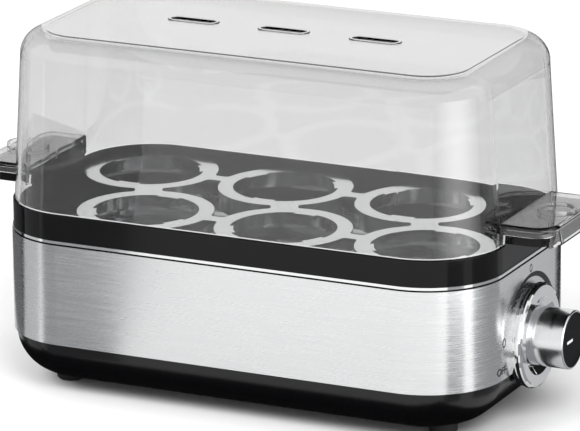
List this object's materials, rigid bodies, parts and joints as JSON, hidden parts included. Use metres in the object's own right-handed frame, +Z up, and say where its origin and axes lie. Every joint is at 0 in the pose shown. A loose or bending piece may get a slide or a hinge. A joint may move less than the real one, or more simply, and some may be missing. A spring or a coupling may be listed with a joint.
{
  "type": "egg boiler",
  "caption": "Low oblong electric egg boiler with a water bowl, a lift-out egg tray, a clear slotted lid with end grips and a turning dial on its right end.",
  "frame": {"origin": "bottom centre of the whole object, on the surface that it stands on", "axes": "+X to the right along the body, towards the end with the dial; +Y to the back, away from the long side that is seen; +Z up"},
  "size_m": [0.263, 0.12, 0.1522],
  "materials": {
    "rubber": "matte",
    "gasket_silicone": "matte",
    "base_plastic": "fine grain",
    "brushed_band": "brushed level",
    "bright_trim": "polished",
    "rim_plastic": "gloss",
    "bowl_steel": "satin",
    "element_metal": "dark oxidised",
    "insulator_ceramic": "matte",
    "plated_steel": "zinc plated",
    "shield_aluminium": "rolled",
    "thermostat_body": "matte",
    "fuse_metal": "tinned",
    "board_laminate": "satin",
    "component_black": "satin",
    "capacitor_sleeve": "satin",
    "connector_plastic": "satin",
    "brass": "plain",
    "shaft_steel": "turned",
    "chrome_ring": "polished",
    "knob_plastic": "plain",
    "knob_face": "satin",
    "pointer_paint": "painted",
    "wire_green": "plain",
    "wire_blue": "plain",
    "wire_brown": "plain",
    "wire_grey": "plain",
    "wire_white": "glass braid",
    "tray_steel": "satin",
    "lid_plastic": "clear"
  },
  "bodies": {
    "base": {"rubber_feet": "rubber", "base_pan": "base_plastic", "steel_band": "brushed_band", "trim_strip": "bright_trim", "upper_rim": "rim_plastic", "bowl_gasket": "gasket_silicone", "heating_bowl": "bowl_steel", "heating_element": "element_metal", "element_insulators": "insulator_ceramic", "element_pins": "plated_steel", "clamp_bars": "plated_steel", "bar_screws": "plated_steel", "base_screws": "plated_steel", "heat_shield": "shield_aluminium", "thermostat": "thermostat_body", "thermal_fuse": "fuse_metal", "fuse_clip": "plated_steel", "control_board": "board_laminate", "board_screws": "plated_steel", "relay": "component_black", "capacitor": "capacitor_sleeve", "buzzer": "component_black", "board_connector": "connector_plastic", "control_bracket": "plated_steel", "bracket_screws": "plated_steel", "rotary_control": "component_black", "control_washer": "plated_steel", "control_nut": "brass", "bezel_ring": "chrome_ring", "cord_gland": "base_plastic", "gland_nut": "base_plastic", "terminal_block": "connector_plastic", "earth_wire": "wire_green", "neutral_wire": "wire_blue", "live_wire": "wire_brown", "control_wire": "wire_grey", "element_wires": "wire_white"},
    "knob": {"control_shaft": "shaft_steel", "knob_core": "knob_plastic", "knob_shell": "chrome_ring", "knob_cap": "knob_face", "knob_pointer": "pointer_paint"},
    "tray": {"egg_tray": "tray_steel"},
    "lid": {"lid": "lid_plastic"}
  },
  "joints": [
    {"name": "knob_turn", "type": "hinge", "parent": "base", "child": "knob", "pos_m": [0.1124, 0, 0.0353], "axis": [-1, 0, 0], "range_deg": [-15, 205]},
    {"name": "tray_lift", "type": "slide", "parent": "base", "child": "tray", "axis": [0, 0, 1], "range_m": [0, 0.08]},
    {"name": "lid_lift", "type": "slide", "parent": "tray", "child": "lid", "axis": [0, 0, 1], "range_m": [0, 0.12]}
  ]
}
